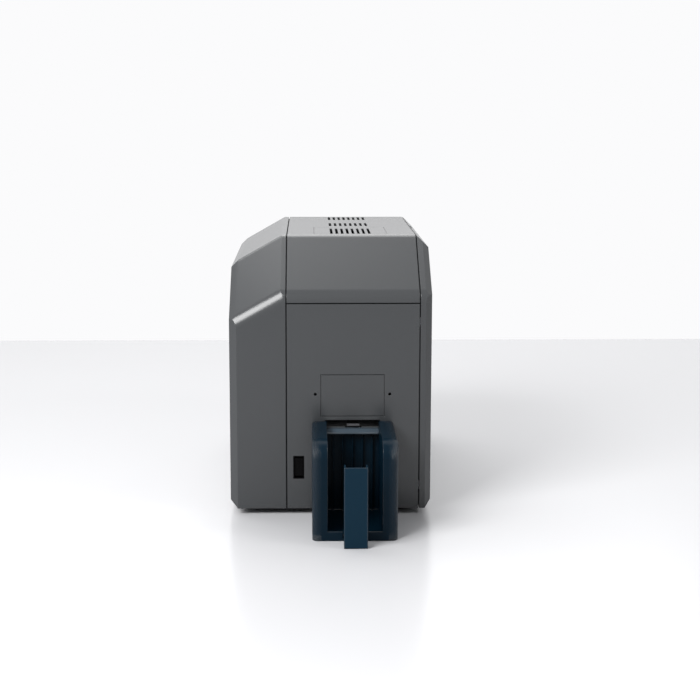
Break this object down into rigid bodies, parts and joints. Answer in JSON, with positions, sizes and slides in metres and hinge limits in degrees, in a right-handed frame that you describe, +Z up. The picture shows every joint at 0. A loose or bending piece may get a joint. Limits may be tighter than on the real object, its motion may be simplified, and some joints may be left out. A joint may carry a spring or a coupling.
{
  "type": "id card printer",
  "caption": "Desktop card printer with a faceted housing: hinged lid, front door, input door, output bin with a sliding card stop, and a geared roller train, ribbon and print head inside",
  "frame": {"origin": "on the table, below the middle of the whole object's box", "axes": "+X towards the machine's front (its door and control strip), -Y towards the output bin, +Z up"},
  "size_m": [0.2186, 0.4946, 0.2993],
  "materials": {
    "housing": "satin moulded plastic, neutral mid grey",
    "bin": "satin moulded plastic, dark blue teal",
    "strip": "gloss, near black",
    "lens": "clear, pale blue",
    "black_plastic": "satin, black",
    "feet": "matt, black",
    "plate_steel": "zinc-plated sheet and turned steel",
    "ramp": "satin, pale grey blue",
    "roller_rubber": "matt, dark grey, on a steel shaft",
    "cleaning_rubber": "slightly tacky, blue, on a steel shaft",
    "gear_plastic": "satin, off-white",
    "brass": "turned",
    "motor": "satin, dark grey",
    "ribbon": "wound film, magenta to violet",
    "used_ribbon": "wound film, dark",
    "cassette": "satin, mid blue",
    "ceramic": "ceramic, ivory",
    "aluminium": "bare",
    "board": "lacquered, green",
    "lever": "satin, grey"
  },
  "bodies": {
    "housing": {"feet": "feet", "base_pan": "plate_steel", "rear_cover": "housing", "output_side_panel": "housing", "exit_hatch": "housing", "switch_bezel": "black_plastic", "input_side_panel": "housing", "door_hinge_brackets": "plate_steel", "hinge_pins": "plate_steel", "output_bin": "bin", "bin_ramp": "ramp", "chassis_rear_plate": "plate_steel", "chassis_front_plate": "plate_steel", "chassis_bars": "plate_steel", "frame_pins": "plate_steel", "drive_motor": "motor", "input_tray": "bin", "ribbon_cassette": "cassette", "control_board": "board", "power_supply": "plate_steel", "fan_frame": "black_plastic", "power_inlet": "black_plastic", "data_ports": "plate_steel", "lever_bracket": "plate_steel", "spool_drives": "plate_steel"},
    "lid": {"top_lid": "housing", "vent_panel": "housing"},
    "door": {"front_door": "housing", "control_strip": "strip", "status_lens": "lens"},
    "button": {"start_button": "black_plastic"},
    "card_door": {"input_door": "housing"},
    "stop": {"card_stop": "bin"},
    "rocker": {"power_switch": "black_plastic"},
    "lever": {"exit_lever": "lever"},
    "exit_roll": {"exit_roller": "roller_rubber", "exit_gear": "gear_plastic"},
    "transport_roll": {"transport_roller": "roller_rubber", "transport_gear": "gear_plastic"},
    "platen_roll": {"platen_roller": "roller_rubber", "platen_gear": "gear_plastic"},
    "cleaning_roll": {"cleaning_roller": "cleaning_rubber", "cleaning_gear": "gear_plastic"},
    "feed_roll": {"feed_roller": "roller_rubber", "feed_gear": "gear_plastic"},
    "exit_pinch": {"exit_pinch_roller": "roller_rubber"},
    "transport_pinch": {"transport_pinch_roller": "roller_rubber"},
    "cleaning_pinch": {"cleaning_pinch_roller": "roller_rubber"},
    "idler_1": {"idler_gear_1": "gear_plastic"},
    "idler_2": {"idler_gear_2": "gear_plastic"},
    "idler_3": {"idler_gear_3": "gear_plastic"},
    "idler_4": {"idler_gear_4": "gear_plastic"},
    "pinion": {"motor_pinion": "brass"},
    "weight": {"card_weight": "black_plastic"},
    "supply": {"supply_spool": "ribbon"},
    "takeup": {"takeup_spool": "used_ribbon"},
    "head": {"head_arm": "plate_steel", "print_head": "ceramic", "heat_sink": "aluminium"},
    "fan": {"fan_rotor": "black_plastic"}
  },
  "joints": [
    {"name": "lid_hinge", "type": "hinge", "parent": "housing", "child": "lid", "pos_m": [0.02382, 0.1623, 0.2953], "axis": [-1, 0, 0], "range_deg": [0, 75]},
    {"name": "door_hinge", "type": "hinge", "parent": "housing", "child": "door", "pos_m": [0.1022, -0.1253, 0.12], "axis": [0, 0, -1], "range_deg": [0, 100]},
    {"name": "button_press", "type": "slide", "parent": "door", "child": "button", "axis": [-0.7071, 0, -0.7071], "range_m": [0, 0.0008], "stiffness_N_per_m": 600, "springref_m": -0.001},
    {"name": "card_door_hinge", "type": "hinge", "parent": "housing", "child": "card_door", "pos_m": [0.02382, 0.2439, 0.1216], "axis": [-1, 0, 0], "range_deg": [0, 80]},
    {"name": "stop_slide", "type": "slide", "parent": "housing", "child": "stop", "axis": [0, 1, 0], "range_m": [0, 0.012]},
    {"name": "switch_rock", "type": "hinge", "parent": "housing", "child": "rocker", "pos_m": [-0.03445, -0.1223, 0.0526], "axis": [-1, 0, 0], "range_deg": [0, 8]},
    {"name": "lever_dip", "type": "hinge", "parent": "housing", "child": "lever", "pos_m": [0.02382, -0.1177, 0.0925], "axis": [1, 0, 0], "range_deg": [0, 8], "stiffness_Nm_per_rad": 0.002, "springref_deg": -17.19},
    {"name": "weight_slide", "type": "slide", "parent": "housing", "child": "weight", "axis": [0, 0, 1], "range_m": [0, 0.085]},
    {"name": "head_lift", "type": "hinge", "parent": "housing", "child": "head", "pos_m": [0.02382, 0.0603, 0.13168], "axis": [-1, 0, 0], "range_deg": [0, 12]},
    {"name": "platen_spin", "type": "hinge", "parent": "housing", "child": "platen_roll", "pos_m": [0.02382, 0.0153, 0.0931], "axis": [1, 0, 0], "continuous": true},
    {"name": "exit_spin", "type": "hinge", "parent": "housing", "child": "exit_roll", "pos_m": [0.02382, -0.1047, 0.0931], "axis": [1, 0, 0], "continuous": true},
    {"name": "transport_spin", "type": "hinge", "parent": "housing", "child": "transport_roll", "pos_m": [0.02382, -0.0447, 0.0931], "axis": [1, 0, 0], "continuous": true},
    {"name": "cleaning_spin", "type": "hinge", "parent": "housing", "child": "cleaning_roll", "pos_m": [0.02382, 0.0753, 0.0931], "axis": [1, 0, 0], "continuous": true},
    {"name": "feed_spin", "type": "hinge", "parent": "housing", "child": "feed_roll", "pos_m": [0.02382, 0.1353, 0.0931], "axis": [1, 0, 0], "continuous": true},
    {"name": "exit_pinch_spin", "type": "hinge", "parent": "housing", "child": "exit_pinch", "pos_m": [0.02382, -0.1047, 0.1079], "axis": [1, 0, 0], "continuous": true},
    {"name": "transport_pinch_spin", "type": "hinge", "parent": "housing", "child": "transport_pinch", "pos_m": [0.02382, -0.0447, 0.1079], "axis": [1, 0, 0], "continuous": true},
    {"name": "cleaning_pinch_spin", "type": "hinge", "parent": "housing", "child": "cleaning_pinch", "pos_m": [0.02382, 0.0753, 0.1079], "axis": [1, 0, 0], "continuous": true},
    {"name": "idler_1_spin", "type": "hinge", "parent": "housing", "child": "idler_1", "pos_m": [-0.0147, -0.0747, 0.0931], "axis": [1, 0, 0], "continuous": true},
    {"name": "idler_2_spin", "type": "hinge", "parent": "housing", "child": "idler_2", "pos_m": [-0.0147, -0.0147, 0.0931], "axis": [1, 0, 0], "continuous": true},
    {"name": "idler_3_spin", "type": "hinge", "parent": "housing", "child": "idler_3", "pos_m": [-0.0147, 0.0453, 0.0931], "axis": [1, 0, 0], "continuous": true},
    {"name": "idler_4_spin", "type": "hinge", "parent": "housing", "child": "idler_4", "pos_m": [-0.0147, 0.1053, 0.0931], "axis": [1, 0, 0], "continuous": true},
    {"name": "motor_spin", "type": "hinge", "parent": "housing", "child": "pinion", "pos_m": [-0.0147, -0.0147, 0.0691], "axis": [1, 0, 0], "continuous": true},
    {"name": "supply_spin", "type": "hinge", "parent": "housing", "child": "supply", "pos_m": [0.02382, 0.0573, 0.17366], "axis": [1, 0, 0], "continuous": true},
    {"name": "takeup_spin", "type": "hinge", "parent": "housing", "child": "takeup", "pos_m": [0.02382, -0.0267, 0.17366], "axis": [1, 0, 0], "continuous": true},
    {"name": "fan_spin", "type": "hinge", "parent": "housing", "child": "fan", "pos_m": [-0.1, 0.0973, 0.2], "axis": [1, 0, 0], "continuous": true}
  ],
  "couplings": [
    {"joint": "exit_spin", "follows": "platen_spin", "ratio": 1},
    {"joint": "transport_spin", "follows": "platen_spin", "ratio": 1},
    {"joint": "cleaning_spin", "follows": "platen_spin", "ratio": 1},
    {"joint": "feed_spin", "follows": "platen_spin", "ratio": 1},
    {"joint": "idler_1_spin", "follows": "platen_spin", "ratio": -0.66667},
    {"joint": "idler_2_spin", "follows": "platen_spin", "ratio": -0.66667},
    {"joint": "idler_3_spin", "follows": "platen_spin", "ratio": -0.66667},
    {"joint": "idler_4_spin", "follows": "platen_spin", "ratio": -0.66667},
    {"joint": "motor_spin", "follows": "platen_spin", "ratio": 2},
    {"joint": "exit_pinch_spin", "follows": "platen_spin", "ratio": -1.3333},
    {"joint": "transport_pinch_spin", "follows": "platen_spin", "ratio": -1.3333},
    {"joint": "cleaning_pinch_spin", "follows": "platen_spin", "ratio": -1.3333},
    {"joint": "takeup_spin", "follows": "supply_spin", "ratio": 1.6667}
  ]
}
